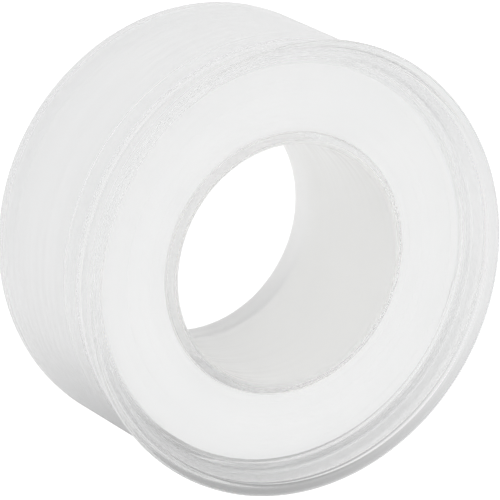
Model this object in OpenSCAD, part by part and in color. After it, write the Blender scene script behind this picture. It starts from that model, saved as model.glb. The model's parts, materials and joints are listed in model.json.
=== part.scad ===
// Roll of thread seal tape in a clear two-part case: a spool, a cover and the tape wound on the spool.
// The roll lies on the back of the cover with its axis along Z and the dished face of the spool up.
// The origin is the middle of the back face. Sections are drawn as radius against depth below the lip.

/* [Tape] */
// Width of the tape
tape_w = 19; // [12:0.5:25]
// Radial depth of the wound tape under its outer turn
tape_build = 7.55; // [4:0.05:10]
// Thickness of the outer turn
turn_t = 0.2; // [0.1:0.05:0.4]
// Angle that the outer turn goes round before its loose end
turn_angle = 345; // [300:1:350]
// Angle over which the loose end lifts
tail_angle = 30; // [10:1:60]
// Height that the loose end lifts by
tail_lift = 0.1; // [0:0.05:0.3]

/* [Spool] */
// Diameter of the bore
bore_d = 27.4; // [20:0.1:32]
// Wall of the hub
hub_wall = 1.2; // [1:0.1:2]
// Wall of the hub's tip in the cover's hole
tip_wall = 0.6; // [0.4:0.05:0.8]
// Rounding at the mouth of the bore
bore_round = 0.5; // [0.2:0.05:0.8]
// Thickness of the front disc
disc_t = 1; // [0.8:0.05:1.6]
// Depth of the disc below the top of the lip
dish_depth = 2.4; // [1.6:0.05:3.5]
// Width of the sloped side between the mouth of the dish and the disc
dish_slope_w = 1; // [0.5:0.05:1.2]
// Depth of the straight mouth of the dish
mouth_depth = 0.8; // [0.4:0.05:1.2]
// Width of the skirt round the disc
skirt_wall = 1.3; // [1.2:0.05:1.6]
// Length of the skirt below the top of the lip
skirt_len = 4.8; // [4.5:0.05:7]
// Overhang of the lip beyond the skirt
lip_overhang = 1.1; // [0.8:0.05:2]
// Thickness of the lip
lip_t = 0.8; // [0.6:0.05:1.2]
// Rounding of the lip's edges
lip_round = 0.3; // [0.1:0.05:0.4]
// Fillet between the lip and the skirt
lip_fillet = 0.5; // [0.2:0.05:0.7]
// Wall of the spigot that the cover slides over
spigot_wall = 0.75; // [0.6:0.05:1]
// Length of the spigot below the skirt
spigot_len = 4.2; // [2:0.1:8]

/* [Cover] */
// Wall of the cover
cover_wall = 1.1; // [0.8:0.05:1.6]
// Thickness of the cover's back
back_t = 1.2; // [0.8:0.05:1.8]
// Outside rounding of the cover's back corner
corner_round = 1.7; // [0.5:0.05:1.8]
// Fillet inside the cover's back corner
corner_fillet = 0.6; // [0.2:0.05:1]
// Rounding of the cover's thin edges
edge_round = 0.25; // [0.1:0.05:0.35]
// Height of the cover above the skirt at the seam
seam_step = 0.15; // [0:0.05:0.4]

/* [Fits] */
// Radial clearance of the tape on the hub
tape_fit = 0.05; // [0.02:0.01:0.1]
// Radial gap between the wound tape and its outer turn
turn_gap = 0.05; // [0.03:0.01:0.1]
// Radial room between the outer turn and the spigot
tape_room = 0.3; // [0.3:0.05:1.5]
// Room between the disc and the tape
tape_front_gap = 0.45; // [0.3:0.05:2]
// Room between the tape and the cover's back
tape_back_gap = 1.15; // [0.3:0.05:2]
// Radial clearance of the cover on the spigot
cover_fit = 0.05; // [0.02:0.01:0.1]
// Radial clearance of the hub's tip in the cover's hole
tip_fit = 0.05; // [0.02:0.01:0.1]
// Gap at the faces where the cover seats on the spool
seat_gap = 0.05; // [0.02:0.01:0.2]
// Distance of the hub's tip inside the cover's back face
tip_inset = 0.15; // [0:0.05:0.5]

/* [Hidden] */
$fn = 96;
clear_plastic = [0.92, 0.95, 0.95, 0.4];
tape_white = [0.97, 0.97, 0.96];
// Overlap of joined and cut shapes
lap = 0.1;
// Flat left between two roundings of a thin edge, on each side of its middle
edge_flat = 0.02;

// Radii from the bore outwards
bore_r = bore_d / 2;
tip_r = bore_r + tip_wall;
hub_r = bore_r + hub_wall;
tape_r0 = hub_r + tape_fit;
tape_r1 = tape_r0 + tape_build;
turn_r0 = tape_r1 + turn_gap;
turn_r1 = turn_r0 + turn_t + tail_lift;
spigot_r0 = turn_r1 + tape_room;
spigot_r1 = spigot_r0 + spigot_wall;
cover_r0 = spigot_r1 + cover_fit;
cover_r1 = cover_r0 + cover_wall;
skirt_r = cover_r1 - seam_step;
dish_r = skirt_r - skirt_wall;
mouth_r = dish_r + dish_slope_w;
lip_r = skirt_r + lip_overhang;
hole_r = tip_r + tip_fit;

// Depths below the top of the lip
disc_back = dish_depth + disc_t;
tape_front = disc_back + tape_front_gap;
tape_back = tape_front + tape_w;
cover_floor = tape_back + tape_back_gap;
overall_w = cover_floor + back_t;
hub_back = cover_floor - seat_gap;
tip_back = overall_w - tip_inset;
spigot_back = skirt_len + spigot_len;
cover_front = skirt_len + seat_gap;

// Roundings that the walls leave room for
lip_edge = min(lip_round, lip_t / 2 - edge_flat);
tip_edge = min(edge_round, tip_wall / 2);
spigot_edge = min(edge_round, spigot_wall / 2 - edge_flat);
cover_edge = min(edge_round, cover_wall / 2 - edge_flat);

// Outer turn of the tape, as points at its inner face
turn_step = 5;
turn_count = ceil(turn_angle / turn_step);
function turn_at(i) = turn_angle * i / turn_count;
function ease(t) = t * t * (3 - 2 * t);
function tail_part(a) = max(0, (a - turn_angle + tail_angle) / tail_angle);
function turn_r(a) = turn_r0 + tail_lift * ease(tail_part(a));
function turn_point(r, a, depth) = [r * cos(a), r * sin(a), overall_w - depth];
turn_path = [for (i = [0:turn_count]) turn_point(turn_r(turn_at(i)), turn_at(i), tape_front)];
turn_spans = [
    for (i = [0:turn_count])
        for (j = [i + floor(turn_count / 2):turn_count])
            if (j <= turn_count) norm(turn_path[i] - turn_path[j])
];
echo("least gap of the outer turn to itself, mm", min(turn_spans));

// Turns a section about the axis of the roll
module turned() {
    rotate_extrude()
        translate([0, overall_w])
            mirror([0, 1])
                children();
}

// Rectangle of a section between two radii and two depths
module band(r0, r1, d0, d1) {
    translate([r0, d0])
        square([r1 - r0, d1 - d0]);
}

// Places a corner shape so that its free sides face outwards (out = 1) or inwards (out = -1), and
// down to the back (back = 1) or up to the front (back = -1)
module at_corner(r, d, out, back) {
    translate([r, d])
        mirror([out < 0 ? 1 : 0, 0])
            mirror([0, back < 0 ? 1 : 0])
                children();
}

// What a quarter round takes off a corner
module round_off(r, d, out, back, radius) {
    at_corner(r, d, out, back)
        difference() {
            translate([-radius, -radius])
                square(radius + lap);
            translate([-radius, -radius])
                circle(radius);
        }
}

// What a fillet adds in an inside corner
module fill_in(r, d, out, back, radius) {
    at_corner(r, d, out, back)
        difference() {
            translate([-lap, -lap])
                square(radius + lap);
            translate([radius, radius])
                circle(radius);
        }
}

// Dished rim of the spool: the mouth, the sloped side and the lip
module rim_section() {
    polygon([
        [dish_r, dish_depth],
        [mouth_r, mouth_depth],
        [mouth_r, 0],
        [lip_r, 0],
        [lip_r, lip_t],
        [skirt_r, lip_t],
        [skirt_r, skirt_len],
        [dish_r, skirt_len]
    ]);
}

module spool_section() {
    difference() {
        union() {
            rim_section();
            fill_in(skirt_r, lip_t, 1, 1, lip_fillet);
            band(bore_r, dish_r + lap, dish_depth, disc_back);
            band(bore_r, hub_r, dish_depth, hub_back);
            band(bore_r, tip_r, dish_depth, tip_back);
            band(spigot_r0, dish_r + lap, dish_depth, skirt_len);
            band(spigot_r0, spigot_r1, dish_depth, spigot_back);
        }
        round_off(lip_r, 0, 1, -1, lip_edge);
        round_off(lip_r, lip_t, 1, 1, lip_edge);
        round_off(mouth_r, 0, -1, -1, lip_edge);
        round_off(bore_r, dish_depth, -1, -1, bore_round);
        round_off(bore_r, tip_back, -1, 1, tip_edge);
        round_off(spigot_r1, spigot_back, 1, 1, spigot_edge);
        round_off(spigot_r0, spigot_back, -1, 1, spigot_edge);
    }
}

module cover_section() {
    difference() {
        union() {
            band(cover_r0, cover_r1, cover_front, overall_w);
            band(hole_r, cover_r1, cover_floor, overall_w);
            fill_in(cover_r0, cover_floor, -1, -1, corner_fillet);
        }
        round_off(cover_r1, overall_w, 1, 1, corner_round);
        round_off(cover_r1, cover_front, 1, -1, cover_edge);
        round_off(hole_r, overall_w, -1, 1, cover_edge);
    }
}

// Spool: dished front disc with a lip, hub with a tip, and a spigot for the cover
module spool() {
    color(clear_plastic)
        turned()
            spool_section();
}

// Cover: wall and back that the spool slides into
module cover() {
    color(clear_plastic)
        turned()
            cover_section();
}

// Wound tape under its outer turn
module tape_roll() {
    color(tape_white)
        turned()
            band(tape_r0, tape_r1, tape_front, tape_back);
}

// Outer turn of the tape, one open strip with a loose end
module tape_outer_turn() {
    rings = [
        for (i = [0:turn_count])
            let (a = turn_at(i), r = turn_r(a))
                [
                    turn_point(r, a, tape_back),
                    turn_point(r + turn_t, a, tape_back),
                    turn_point(r + turn_t, a, tape_front),
                    turn_point(r, a, tape_front)
                ]
    ];
    sides = 4;
    last = turn_count * sides;
    skin = [
        for (i = [0:turn_count - 1])
            for (k = [0:sides - 1])
                let (
                    a = i * sides + k,
                    b = i * sides + (k + 1) % sides
                )
                    each [[a, b, b + sides], [a, b + sides, a + sides]]
    ];
    caps = [
        [0, 2, 1],
        [0, 3, 2],
        [last, last + 1, last + 2],
        [last, last + 2, last + 3]
    ];
    color(tape_white)
        polyhedron([for (ring = rings) each ring], concat(skin, caps));
}

spool();
cover();
tape_roll();
tape_outer_turn();
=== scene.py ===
"""Looks of a roll of thread seal tape: white film wound on a clear spool and closed by a clear cover.

Lengths are in metres. The roll lies on the back of its cover with its axis along Z and its dished front up.
"""
import json
import logging
import math
from dataclasses import dataclass
from enum import Enum
from typing import Any, ClassVar, Iterable, Optional

import bmesh
import bpy
from mathutils import Matrix, Vector


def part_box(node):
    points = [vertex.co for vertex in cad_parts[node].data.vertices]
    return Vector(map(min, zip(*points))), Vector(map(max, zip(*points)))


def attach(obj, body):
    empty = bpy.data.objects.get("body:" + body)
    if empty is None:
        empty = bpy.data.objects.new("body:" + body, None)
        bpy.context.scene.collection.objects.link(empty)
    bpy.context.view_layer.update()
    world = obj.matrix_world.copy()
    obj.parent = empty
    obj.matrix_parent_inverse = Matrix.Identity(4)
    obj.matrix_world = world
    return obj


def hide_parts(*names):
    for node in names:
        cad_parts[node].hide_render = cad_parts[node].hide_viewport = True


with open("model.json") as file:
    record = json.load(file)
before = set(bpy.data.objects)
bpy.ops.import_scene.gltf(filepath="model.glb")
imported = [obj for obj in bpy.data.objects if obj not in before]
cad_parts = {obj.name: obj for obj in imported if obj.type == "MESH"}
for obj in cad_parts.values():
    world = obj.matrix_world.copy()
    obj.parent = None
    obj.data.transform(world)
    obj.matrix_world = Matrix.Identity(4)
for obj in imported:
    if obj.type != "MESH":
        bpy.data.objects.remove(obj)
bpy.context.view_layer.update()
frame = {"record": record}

MM = 0.001
TIP_FIT = 0.05 * MM
TAPE_FIT = 0.05 * MM
SEAM_STEP = 0.15 * MM
SEAT_GAP = 0.05 * MM
WHITE = (1.0, 1.0, 1.0, 1.0)
LOG = logging.getLogger("tape_roll")


class Body(Enum):
    """Bodies of the frame that pieces ride on."""

    SPOOL = "spool"
    COVER = "cover"
    TAPE = "tape"


class Slot(Enum):
    """Material slots of the record."""

    CLEAR_CASE = "clear_case"
    SEAL_TAPE = "seal_tape"


@dataclass(frozen=True)
class Corner:
    """One corner of a turned section, with the size of its rounding."""

    radius: float
    height: float
    rounding: float = 0.0

    def place(self) -> Vector:
        """Gives the corner's point on the half plane that is turned about Z."""
        return Vector((self.radius, 0.0, self.height))


class Bench:
    """Edit-mode steps that several pieces share."""

    MERGE: ClassVar[float] = 0.001 * MM
    PEN: ClassVar[float] = 0.1 * MM
    SECTION_DEG: ClassVar[float] = 35.0
    FLAT_WEIGHT: ClassVar[int] = 100

    @staticmethod
    def clear_selection() -> None:
        """Leaves edit mode and deselects every object."""
        if bpy.context.object and bpy.context.object.mode != "OBJECT":
            bpy.ops.object.mode_set(mode="OBJECT")
        bpy.ops.object.select_all(action="DESELECT")

    @staticmethod
    def select_places(places: Iterable[Vector]) -> None:
        """Selects the vertices of the edited mesh that lie at the given places.

        Args:
            places: Points in the mesh's own coordinates.
        """
        bpy.ops.mesh.select_all(action="DESELECT")
        bpy.context.tool_settings.mesh_select_mode = (True, False, False)
        mesh = bmesh.from_edit_mesh(bpy.context.object.data)
        wanted = list(places)
        for vertex in mesh.verts:
            vertex.select = any((vertex.co - p).length < Bench.MERGE for p in wanted)
        mesh.select_flush_mode()
        bmesh.update_edit_mesh(bpy.context.object.data)

    @staticmethod
    def close_mesh() -> None:
        """Merges doubles over the whole edited mesh and points its faces outwards."""
        bpy.ops.mesh.select_all(action="SELECT")
        bpy.ops.mesh.remove_doubles(threshold=Bench.MERGE)
        bpy.ops.mesh.normals_make_consistent(inside=False)
        bpy.ops.object.mode_set(mode="OBJECT")

    @staticmethod
    def apply_modifier(piece: bpy.types.Object, kind: str, **settings: Any) -> None:
        """Adds a modifier with its settings and applies it.

        Args:
            piece: Object that the modifier shapes.
            kind: Blender's name of the modifier.
            settings: Values of the modifier's properties.
        """
        modifier = piece.modifiers.new(kind.lower(), kind)
        for name, value in settings.items():
            setattr(modifier, name, value)
        bpy.ops.object.modifier_apply(modifier=modifier.name)

    @staticmethod
    def smooth(piece: bpy.types.Object, angle_deg: float) -> None:
        """Shades a piece smooth and keeps its flat faces flat beside small roundings.

        Args:
            piece: The active object.
            angle_deg: Edges sharper than this stay sharp.
        """
        bpy.ops.object.shade_smooth_by_angle(angle=math.radians(angle_deg))
        Bench.apply_modifier(piece, "WEIGHTED_NORMAL", keep_sharp=True, weight=Bench.FLAT_WEIGHT)

    @staticmethod
    def turn_section(name: str, corners: list[Corner], steps: int, segments: int) -> bpy.types.Object:
        """Draws a closed section corner by corner, rounds it and spins it about the roll's axis.

        Args:
            name: Name of the new object.
            corners: Corners of the section in order.
            steps: Steps of the full turn.
            segments: Segments of each rounding.

        Returns:
            The turned object, at the origin, with smooth shading.
        """
        Bench.clear_selection()
        bpy.ops.mesh.primitive_plane_add(size=Bench.PEN)
        piece = bpy.context.object
        piece.name = name
        bpy.ops.object.mode_set(mode="EDIT")
        bpy.ops.mesh.merge(type="CENTER")
        places = [corner.place() for corner in corners]
        bpy.ops.transform.translate(value=places[0])
        for here, there in zip(places, places[1:]):
            bpy.ops.mesh.extrude_region_move(TRANSFORM_OT_translate={"value": there - here})
        Bench.select_places([places[0], places[-1]])
        bpy.ops.mesh.edge_face_add()
        bpy.ops.mesh.select_all(action="SELECT")
        bpy.ops.mesh.edge_face_add()
        for size in sorted({corner.rounding for corner in corners if corner.rounding > 0}):
            Bench.select_places([c.place() for c in corners if c.rounding == size])
            bpy.ops.mesh.bevel(offset=size, segments=segments, affect="VERTICES")
        bpy.ops.mesh.select_all(action="SELECT")
        bpy.ops.mesh.delete(type="ONLY_FACE")
        bpy.ops.mesh.select_all(action="SELECT")
        bpy.ops.mesh.spin(steps=steps, angle=math.tau, center=(0, 0, 0), axis=(0, 0, 1))
        Bench.close_mesh()
        Bench.smooth(piece, Bench.SECTION_DEG)
        return piece


class Graph:
    """Node tree of a material or a world with its shader, to which textures are added."""

    NOISE_LOW: ClassVar[float] = 0.3
    NOISE_HIGH: ClassVar[float] = 0.7

    def __init__(self, owner: bpy.types.ID, shader: str) -> None:
        """Takes up the node tree of a new material or world.

        Args:
            owner: The material or world.
            shader: Name of the tree's shader node.
        """
        owner.use_nodes = True
        self.owner = owner
        self.nodes = owner.node_tree.nodes
        self.links = owner.node_tree.links
        self.shader = self.nodes[shader]

    @classmethod
    def of_material(cls, name: str) -> "Graph":
        """Makes a new material and gives its tree."""
        return cls(bpy.data.materials.new(name), "Principled BSDF")

    @classmethod
    def of_world(cls, name: str) -> "Graph":
        """Makes a new world and gives its tree."""
        return cls(bpy.data.worlds.new(name), "Background")

    def add(self, kind: str, inputs: Optional[dict[Any, Any]] = None, **settings: Any) -> bpy.types.Node:
        """Adds a node, sets its properties and fills its inputs.

        Args:
            kind: Blender's class name of the node.
            inputs: Value, or output socket to link, for each input by name or number.
            settings: Properties of the node.

        Returns:
            The new node.
        """
        node = self.nodes.new(kind)
        for name, value in settings.items():
            setattr(node, name, value)
        for key, value in (inputs or {}).items():
            self.fill(node, key, value)
        return node

    def fill(self, node: bpy.types.Node, key: Any, value: Any) -> None:
        """Links an output socket to a node's input, or sets the input's own value.

        Args:
            node: Node that has the input.
            key: Name or number of the input.
            value: Output socket or plain value.
        """
        if isinstance(value, bpy.types.NodeSocket):
            self.links.new(value, node.inputs[key])
        else:
            node.inputs[key].default_value = value

    def shade(self, inputs: dict[str, Any]) -> None:
        """Fills inputs of the shader."""
        for key, value in inputs.items():
            self.fill(self.shader, key, value)

    def place(self) -> bpy.types.NodeSocket:
        """Gives the place on the piece, in metres from the middle of the roll."""
        return self.add("ShaderNodeTexCoord").outputs["Object"]

    def rings(self, place: Any, drift: float) -> bpy.types.NodeSocket:
        """Gives places whose noise runs in rings about the axis of the roll.

        Args:
            place: Socket with the place on the piece.
            drift: Share of the place that lets the rings change on their way round.

        Returns:
            The socket with radius, height and drift.
        """
        parts = self.add("ShaderNodeSeparateXYZ", {0: place}).outputs
        flat = self.add("ShaderNodeCombineXYZ", {0: parts[0], 1: parts[1]}).outputs[0]
        radius = self.add("ShaderNodeVectorMath", {0: flat}, operation="LENGTH").outputs["Value"]
        slow = self.add("ShaderNodeMath", {0: parts[0], 1: drift}, operation="MULTIPLY").outputs[0]
        return self.add("ShaderNodeCombineXYZ", {0: radius, 1: parts[2], 2: slow}).outputs[0]

    def noise(self, where: Any, scale: float, detail: float) -> bpy.types.NodeSocket:
        """Adds a noise texture.

        Args:
            where: Socket with the place to read.
            scale: Grains per metre.
            detail: Number of finer layers.

        Returns:
            The socket with the noise value.
        """
        inputs = {"Vector": where, "Scale": scale, "Detail": detail}
        return self.add("ShaderNodeTexNoise", inputs).outputs[0]

    def spread(self, value: Any, low: float, high: float) -> bpy.types.NodeSocket:
        """Maps noise, which mostly lies between its low and high marks, to a range of values."""
        inputs = {0: value, 1: self.NOISE_LOW, 2: self.NOISE_HIGH, 3: low, 4: high}
        return self.add("ShaderNodeMapRange", inputs).outputs[0]

    def fade(self, value: Any, span: tuple[float, float], low: float) -> bpy.types.NodeSocket:
        """Rises smoothly from a low share to 1 over a span of values."""
        inputs = {0: value, 1: span[0], 2: span[1], 3: low, 4: 1.0}
        return self.add("ShaderNodeMapRange", inputs, interpolation_type="SMOOTHSTEP").outputs[0]

    def blend(self, share: Any, first: tuple[float, ...], second: tuple[float, ...]) -> bpy.types.NodeSocket:
        """Mixes two colours by the second one's share, between 0 and 1."""
        inputs = {0: share, 6: first, 7: second}
        return self.add("ShaderNodeMix", inputs, data_type="RGBA").outputs[2]

    def bump(self, height: Any, depth: float, strength: float, normal: Any = None) -> bpy.types.NodeSocket:
        """Adds a bump of a given depth.

        Args:
            height: Socket with the height between 0 and 1.
            depth: Depth of the bump in metres.
            strength: Share of the bump that shows.
            normal: Socket of an earlier bump to build on.

        Returns:
            The socket with the bumped normal.
        """
        inputs = {"Height": height, "Distance": depth, "Strength": strength}
        if normal is not None:
            inputs["Normal"] = normal
        return self.add("ShaderNodeBump", inputs).outputs[0]


@dataclass(frozen=True)
class ClearPlastic:
    """Clear, slightly milky moulded plastic."""

    name: str = "clear_plastic"
    clear: tuple[float, ...] = (0.995, 0.996, 0.995, 1.0)
    milky: tuple[float, ...] = (0.985, 0.988, 0.987, 1.0)
    ior: float = 1.49
    haze: tuple[float, float] = (0.14, 0.18)
    cloud_grains: float = 160.0
    cloud_detail: float = 3.0
    flow_grains: float = 1200.0
    flow_detail: float = 1.0
    flow_drift: float = 0.05
    flow_depth: float = 0.001 * MM
    flow_strength: float = 0.15

    def material(self) -> bpy.types.Material:
        """Builds the plastic: milky clouds, uneven polish and faint flow marks of the mould.

        Returns:
            The new material.
        """
        graph = Graph.of_material(self.name)
        place = graph.place()
        clouds = graph.noise(place, self.cloud_grains, self.cloud_detail)
        flow = graph.noise(graph.rings(place, self.flow_drift), self.flow_grains, self.flow_detail)
        graph.shade({
            "Base Color": graph.blend(graph.spread(clouds, 0.0, 1.0), self.clear, self.milky),
            "Roughness": graph.spread(flow, *self.haze),
            "Transmission Weight": 1.0,
            "IOR": self.ior,
            "Normal": graph.bump(flow, self.flow_depth, self.flow_strength),
        })
        return graph.owner


# Bore lining: rougher, milkier plastic, plus a warmer, slightly darker tint that is painted shade of the
# warm light inside the bore
MILKY_SHADED_BORE = ClearPlastic(
    name="milky_shaded_plastic",
    clear=(0.995, 0.993, 0.984, 1.0),
    milky=(0.99, 0.988, 0.978, 1.0),
    haze=(0.3, 0.42),
)


@dataclass(frozen=True)
class SoftFilm:
    """Soft matt white sealing film, wound in many turns."""

    name: str = "white_film"
    light: tuple[float, ...] = (0.972, 0.971, 0.972, 1.0)
    shade: tuple[float, ...] = (0.945, 0.944, 0.944, 1.0)
    matt: tuple[float, float] = (0.42, 0.6)
    ior: float = 1.35
    sheen: float = 0.1
    band_grains: float = 400.0
    band_detail: float = 3.0
    band_drift: float = 0.02
    band_strength: float = 0.2
    fibre_grains: float = 2600.0
    fibre_detail: float = 2.0
    fibre_strength: float = 0.25
    mark_depth: float = 0.03 * MM

    def material(self) -> bpy.types.Material:
        """Builds the film: bands that follow the turns and a fine drawn grain.

        Returns:
            The new material.
        """
        graph = Graph.of_material(self.name)
        place = graph.place()
        bands = graph.noise(graph.rings(place, self.band_drift), self.band_grains, self.band_detail)
        fibres = graph.noise(place, self.fibre_grains, self.fibre_detail)
        ridges = graph.bump(bands, self.mark_depth, self.band_strength)
        graph.shade({
            "Base Color": graph.blend(graph.spread(bands, 0.0, 1.0), self.light, self.shade),
            "Roughness": graph.spread(fibres, *self.matt),
            "IOR": self.ior,
            "Sheen Weight": self.sheen,
            "Normal": graph.bump(fibres, self.mark_depth, self.fibre_strength, ridges),
        })
        return graph.owner


class Piece:
    """A finished mesh of the roll, and how it joins the frame."""

    def __init__(self, shape: bpy.types.Object, body: Body, slot: Slot, nodes: tuple[str, ...]) -> None:
        """Keeps the mesh and what the frame needs to know of it.

        Args:
            shape: The finished mesh object.
            body: Body that it rides on.
            slot: Material slot of the record; not used.
            nodes: CAD nodes that it stands for.
        """
        self.shape = shape
        self.body = body
        self.slot = slot
        self.nodes = nodes

    def dress(self, material: bpy.types.Material) -> None:
        """Gives the piece its material and joins it to the frame.

        Args:
            material: Finish of the whole piece.
        """
        self.shape.data.materials.clear()
        self.shape.data.materials.append(material)
        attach(self.shape, self.body.value)
        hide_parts(*self.nodes)
        LOG.info("%s: %d faces in %s", self.shape.name, len(self.shape.data.polygons), material.name)

    def line_bore(self, material: bpy.types.Material, radius: float) -> None:
        """Gives the faces next to the axis a finish of their own.

        Args:
            material: Finish of those faces.
            radius: Distance from the axis that the faces stay within.
        """
        mesh = self.shape.data
        mesh.materials.append(material)
        lining = [face for face in mesh.polygons if face.center.xy.length < radius]
        for face in lining:
            face.material_index = 1
        LOG.info("%s: %d faces in %s", self.shape.name, len(lining), material.name)


@dataclass
class ClearSpool:
    """Dished front disc with a lip, skirt and spigot at the rim and a hub with a tip."""

    lip_r: float
    skirt_r: float
    bore_r: float
    top: float
    hub_low: float
    tip_low: float
    lip_t: float = 0.8 * MM
    lip_round: float = 0.3 * MM
    lip_fillet: float = 0.5 * MM
    mouth_step: float = 0.3 * MM
    mouth_depth: float = 0.8 * MM
    dish_step: float = 1.3 * MM
    dish_depth: float = 2.4 * MM
    dish_round: float = 0.15 * MM
    disc_t: float = 1.0 * MM
    bore_round: float = 0.5 * MM
    skirt_len: float = 4.8 * MM
    seam_round: float = 0.08 * MM
    spigot_step: float = 1.0 * MM
    spigot_wall: float = 0.75 * MM
    spigot_len: float = 4.2 * MM
    edge_round: float = 0.25 * MM
    hub_wall: float = 1.2 * MM
    tip_wall: float = 0.6 * MM
    steps: int = 512
    segments: int = 6

    def corners(self) -> list[Corner]:
        """Lists the section's corners from the mouth of the bore outwards and back along the hub.

        Returns:
            The corners in order.
        """
        disc = self.top - self.dish_depth
        disc_low = disc - self.disc_t
        skirt_low = self.top - self.skirt_len
        spigot_low = skirt_low - self.spigot_len
        spigot_r = self.skirt_r - self.spigot_step
        room_r = spigot_r - self.spigot_wall
        hub_r = self.bore_r + self.hub_wall
        tip_r = self.bore_r + self.tip_wall
        mouth_r = self.skirt_r - self.mouth_step
        return [
            Corner(self.bore_r, disc, self.bore_round),
            Corner(self.skirt_r - self.dish_step, disc, self.dish_round),
            Corner(mouth_r, self.top - self.mouth_depth, self.dish_round),
            Corner(mouth_r, self.top, self.lip_round),
            Corner(self.lip_r, self.top, self.lip_round),
            Corner(self.lip_r, self.top - self.lip_t, self.lip_round),
            Corner(self.skirt_r, self.top - self.lip_t, self.lip_fillet),
            Corner(self.skirt_r, skirt_low, self.seam_round),
            Corner(spigot_r, skirt_low),
            Corner(spigot_r, spigot_low, self.edge_round),
            Corner(room_r, spigot_low, self.edge_round),
            Corner(room_r, disc_low, self.dish_round),
            Corner(hub_r, disc_low, self.dish_round),
            Corner(hub_r, self.hub_low),
            Corner(tip_r, self.hub_low),
            Corner(tip_r, self.tip_low),
            Corner(self.bore_r, self.tip_low, self.edge_round),
        ]

    def build(self) -> Piece:
        """Turns the section into the spool's piece."""
        shape = Bench.turn_section("clear_spool", self.corners(), self.steps, self.segments)
        return Piece(shape, Body.SPOOL, Slot.CLEAR_CASE, ("spool",))

    def dress(self, piece: Piece, clear: bpy.types.Material, milky: bpy.types.Material) -> None:
        """Finishes the spool in clear plastic, with a milkier bore whose warmer, slightly darker tint is
        painted shade.
        """
        piece.dress(clear)
        piece.line_bore(milky, self.bore_r + self.bore_round)


@dataclass
class ClearCover:
    """Wall and back that the spool slides into."""

    wall_r: float
    hole_r: float
    top: float
    low: float
    wall: float = 1.1 * MM
    back_t: float = 1.2 * MM
    corner_round: float = 1.7 * MM
    corner_fillet: float = 0.6 * MM
    edge_round: float = 0.25 * MM
    inner_round: float = 0.1 * MM
    steps: int = 512
    segments: int = 8

    def corners(self) -> list[Corner]:
        """Lists the section's corners from the hole's inner edge round the outside.

        Returns:
            The corners in order.
        """
        floor = self.low + self.back_t
        inner_r = self.wall_r - self.wall
        return [
            Corner(self.hole_r, floor),
            Corner(inner_r, floor, self.corner_fillet),
            Corner(inner_r, self.top, self.inner_round),
            Corner(self.wall_r, self.top, self.edge_round),
            Corner(self.wall_r, self.low, self.corner_round),
            Corner(self.hole_r, self.low, self.edge_round),
        ]

    def build(self) -> Piece:
        """Turns the section into the cover's piece."""
        shape = Bench.turn_section("clear_cover", self.corners(), self.steps, self.segments)
        return Piece(shape, Body.COVER, Slot.CLEAR_CASE, ("cover",))

    def dress(self, piece: Piece, clear: bpy.types.Material) -> None:
        """Finishes the cover in clear plastic."""
        piece.dress(clear)


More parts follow.
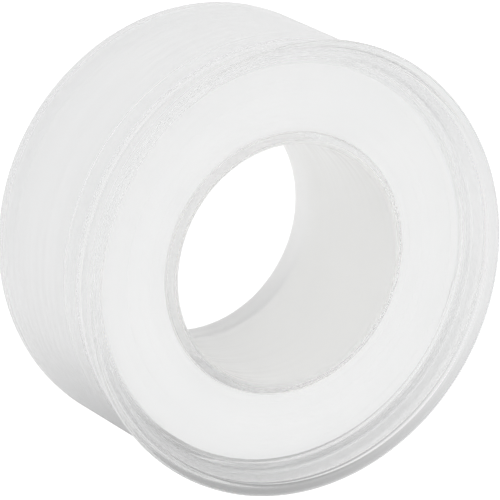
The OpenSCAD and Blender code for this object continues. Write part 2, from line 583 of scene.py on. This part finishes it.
@dataclass
class WoundFilm:
    """One unbroken film wound on the hub, from its start to its loose end."""

    inner_r: float
    outer_r: float
    low: float
    top: float
    turns: int = 38
    fill: float = 0.99
    half_steps: int = 60
    gap_deg: float = 15.0
    tail_deg: float = 30.0
    tail_lift: float = 0.1 * MM
    wander: float = 0.03 * MM
    # Share, pace and phase of each wave of the wander
    waves: tuple[tuple[float, float, float], ...] = ((1.0, 0.41, 0.0), (0.7, 0.93, 1.1), (0.4, 2.3, 0.4))
    smooth_deg: float = 40.0

    def pitch(self) -> float:
        """Gives the radial step from one turn to the next."""
        return (self.outer_r - self.inner_r) / (self.turns + self.fill)

    def spin(self, centre: Vector, angle_deg: float) -> None:
        """Winds the selected end of the film on round a centre.

        Args:
            centre: Middle of the arc.
            angle_deg: Angle to wind through.
        """
        steps = max(1, round(self.half_steps * angle_deg / 180))
        bpy.ops.mesh.spin(steps=steps, angle=-math.radians(angle_deg), center=centre, axis=(0, 0, 1))

    def start_edge(self) -> bpy.types.Object:
        """Makes the film's straight start on the hub, as one edge in edit mode.

        Returns:
            The new object.
        """
        half = (self.top - self.low) / 2
        Bench.clear_selection()
        bpy.ops.mesh.primitive_plane_add(size=2 * half, rotation=(math.pi / 2, 0, 0))
        bpy.ops.object.transform_apply(rotation=True)
        strip = bpy.context.object
        strip.name = "wound_film"
        bpy.ops.object.mode_set(mode="EDIT")
        Bench.select_places([Vector((-half, 0, -half)), Vector((-half, 0, half))])
        bpy.ops.mesh.delete(type="VERT")
        bpy.ops.mesh.select_all(action="SELECT")
        place = Vector((self.inner_r, 0, (self.low + self.top) / 2))
        bpy.ops.transform.translate(value=place - Vector((half, 0, 0)))
        return strip

    def wind(self) -> bpy.types.Object:
        """Winds the film in half turns whose centres step from side to side, then lifts its loose end.

        Returns:
            The wound strip, without thickness.
        """
        strip = self.start_edge()
        step = self.pitch() / 2
        sides = (Vector((-step / 2, 0, 0)), Vector((step / 2, 0, 0)))
        last = 2 * self.turns - 1
        for half_turn in range(last):
            self.spin(sides[half_turn % 2], 180)
        lift_deg = 180 - self.gap_deg - self.tail_deg
        self.spin(sides[last % 2], lift_deg)
        away = math.radians(180 + lift_deg)
        easing = self.tail_lift / (1 - math.cos(math.radians(self.tail_deg)))
        self.spin(sides[last % 2] - easing * Vector((math.cos(away), math.sin(away), 0)), self.tail_deg)
        bpy.ops.mesh.select_all(action="SELECT")
        bpy.ops.mesh.normals_make_consistent(inside=False)
        bpy.ops.object.mode_set(mode="OBJECT")
        return strip

    def stray(self, strip: bpy.types.Object) -> None:
        """Shifts each turn a little along the axis, as wound film never lies quite flush.

        Args:
            strip: The wound strip.
        """
        for vertex in strip.data.vertices:
            turn = (math.hypot(vertex.co.x, vertex.co.y) - self.inner_r) / self.pitch()
            sway = sum(share * math.sin(pace * turn + phase) for share, pace, phase in self.waves)
            vertex.co.z += self.wander * sway

    def build(self) -> Piece:
        """Winds the film and gives it its thickness.

        Returns:
            The film's piece.
        """
        strip = self.wind()
        self.stray(strip)
        Bench.apply_modifier(strip, "SOLIDIFY", thickness=self.fill * self.pitch(), offset=1.0)
        bpy.ops.object.mode_set(mode="EDIT")
        Bench.close_mesh()
        Bench.smooth(strip, self.smooth_deg)
        return Piece(strip, Body.TAPE, Slot.SEAL_TAPE, ("tape_roll", "tape_outer_turn"))

    def dress(self, piece: Piece, white: bpy.types.Material) -> None:
        """Finishes the whole film in soft white."""
        piece.dress(white)


@dataclass(frozen=True)
class SoftLight:
    """A soft bright or dark patch of the studio's surroundings."""

    towards: tuple[float, float, float]
    spread_deg: float
    gain: float


@dataclass
class Studio:
    """Pale floor, soft light all round and a camera at the photographed angle."""

    floor_z: float
    floor_size: float = 8.0
    floor_tone: tuple[float, ...] = (0.31, 0.31, 0.31, 1.0)
    floor_shade: tuple[float, ...] = (0.29, 0.29, 0.295, 1.0)
    floor_matt: tuple[float, float] = (0.6, 0.8)
    floor_grains: float = 30.0
    floor_detail: float = 3.0
    floor_glow: float = 0.54
    floor_seen_glow: float = 0.9
    # Painted contact shadow: the floor glow that lights the roll dims in a patch round this place, towards
    # -Y
    painted_shadow_place: tuple[float, float, float] = (3.0 * MM, -58.0 * MM, 0.0)
    painted_shadow_r: tuple[float, float] = (15.0 * MM, 60.0 * MM)
    painted_shadow_share: float = 0.1
    base_level: float = 0.87
    lights: tuple[SoftLight, ...] = (
        SoftLight((-0.4, 0.2, 1.0), 60.0, 0.25),
        SoftLight((-0.8, 0.5, 0.0), 75.0, -0.13),
        SoftLight((0.8, -0.2, 0.1), 80.0, -0.06),
        SoftLight((-0.1, -1.0, 0.1), 45.0, -0.6),
    )
    light_bounces: int = 64
    soft_bounces: int = 12
    lens_mm: float = 349.64
    sensor_mm: float = 36.0
    near_clip: float = 10.0 * MM
    camera_place: tuple[float, ...] = (-0.254175, 0.158540, 0.466767)
    camera_towards: tuple[float, ...] = (0.46807, -0.29304, -0.83369)
    picture_up: tuple[float, ...] = (0.14346, 0.95610, -0.25552)

    def add_floor(self) -> None:
        """Lays the pale floor, which shows brighter than it lights the roll."""
        Bench.clear_selection()
        bpy.ops.mesh.primitive_plane_add(size=self.floor_size, location=(0, 0, self.floor_z))
        floor = bpy.context.object
        floor.name = "pale_floor"
        graph = Graph.of_material("pale_floor")
        place = graph.place()
        grain = graph.noise(place, self.floor_grains, self.floor_detail)
        # Painted shadow: the glow that lights the roll is dimmed near a place towards -Y, standing in for
        # the roll's contact shadow
        ends = {0: place, 1: self.painted_shadow_place}
        aside = graph.add("ShaderNodeVectorMath", ends, operation="DISTANCE").outputs["Value"]
        dim = {0: graph.fade(aside, self.painted_shadow_r, self.painted_shadow_share), 1: self.floor_glow}
        lit = graph.add("ShaderNodeMath", dim, operation="MULTIPLY").outputs[0]
        seen = graph.add("ShaderNodeLightPath").outputs["Is Camera Ray"]
        glow = {0: seen, 3: lit, 4: self.floor_seen_glow}
        graph.shade({
            "Base Color": graph.blend(grain, self.floor_tone, self.floor_shade),
            "Roughness": graph.spread(grain, *self.floor_matt),
            "Emission Color": WHITE,
            "Emission Strength": graph.add("ShaderNodeMapRange", glow).outputs[0],
        })
        floor.data.materials.append(graph.owner)

    def add_light(self) -> None:
        """Surrounds the roll with a bright studio that has soft lights and a darker side."""
        graph = Graph.of_world("studio")
        aim = graph.add("ShaderNodeTexCoord").outputs["Generated"]
        level: Any = self.base_level
        for light in self.lights:
            ways = {0: aim, 1: Vector(light.towards).normalized()}
            facing = graph.add("ShaderNodeVectorMath", ways, operation="DOT_PRODUCT").outputs["Value"]
            edge = math.cos(math.radians(light.spread_deg))
            patch = {0: facing, 1: edge, 2: 1.0, 4: light.gain}
            glow = graph.add("ShaderNodeMapRange", patch, interpolation_type="SMOOTHSTEP").outputs[0]
            level = graph.add("ShaderNodeMath", {0: level, 1: glow}).outputs[0]
        graph.shade({"Strength": level, "Color": WHITE})
        bpy.context.scene.world = graph.owner

    def add_camera(self) -> None:
        """Sets the camera at the photographed angle and shows tones as they are."""
        lens = bpy.data.cameras.new("camera")
        lens.lens = self.lens_mm
        lens.sensor_width = self.sensor_mm
        lens.clip_start = self.near_clip
        camera = bpy.data.objects.new("camera", lens)
        camera.location = self.camera_place
        towards = Vector(self.camera_towards).normalized()
        right = towards.cross(Vector(self.picture_up)).normalized()
        turn = Matrix((right, right.cross(towards), -towards)).transposed()
        camera.rotation_euler = turn.to_euler()
        scene = bpy.context.scene
        scene.collection.objects.link(camera)
        scene.camera = camera
        scene.view_settings.view_transform = "Standard"
        scene.cycles.max_bounces = self.light_bounces
        scene.cycles.transmission_bounces = self.light_bounces
        scene.cycles.glossy_bounces = self.light_bounces
        scene.cycles.diffuse_bounces = self.soft_bounces
        scene.cycles.blur_glossy = 0.0

    def build(self) -> None:
        """Sets up the floor, the light and the camera."""
        self.add_floor()
        self.add_light()
        self.add_camera()
        LOG.info("studio: floor at %.4f m", self.floor_z)


def bore_radius() -> float:
    """Gives the radius of the bore that the record states, in metres."""
    return next(m["dims"]["r_mm"] for m in frame["record"]["mounts"] if m["name"] == "hub_bore") * MM


def main() -> None:
    """Builds and dresses the pieces in order, then sets up the studio."""
    logging.basicConfig(level=logging.INFO, format="%(name)s: %(message)s")
    spool_low, spool_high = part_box("spool")
    cover_low, cover_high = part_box("cover")
    core_low, core_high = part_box("tape_roll")
    bore_r = bore_radius()
    spool = ClearSpool(
        lip_r=spool_high.x,
        skirt_r=cover_high.x - SEAM_STEP,
        bore_r=bore_r,
        top=spool_high.z,
        hub_low=cover_low.z + ClearCover.back_t + SEAT_GAP,
        tip_low=spool_low.z,
    )
    cover = ClearCover(
        wall_r=cover_high.x,
        hole_r=bore_r + spool.tip_wall + TIP_FIT,
        top=cover_high.z,
        low=cover_low.z,
    )
    film = WoundFilm(
        inner_r=bore_r + spool.hub_wall + TAPE_FIT,
        outer_r=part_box("tape_outer_turn")[1].x,
        low=core_low.z,
        top=core_high.z,
    )
    clear = ClearPlastic().material()
    spool.dress(spool.build(), clear, MILKY_SHADED_BORE.material())
    cover.dress(cover.build(), clear)
    film.dress(film.build(), SoftFilm().material())
    Studio(floor_z=cover_low.z).build()


if __name__ == "__main__":
    main()
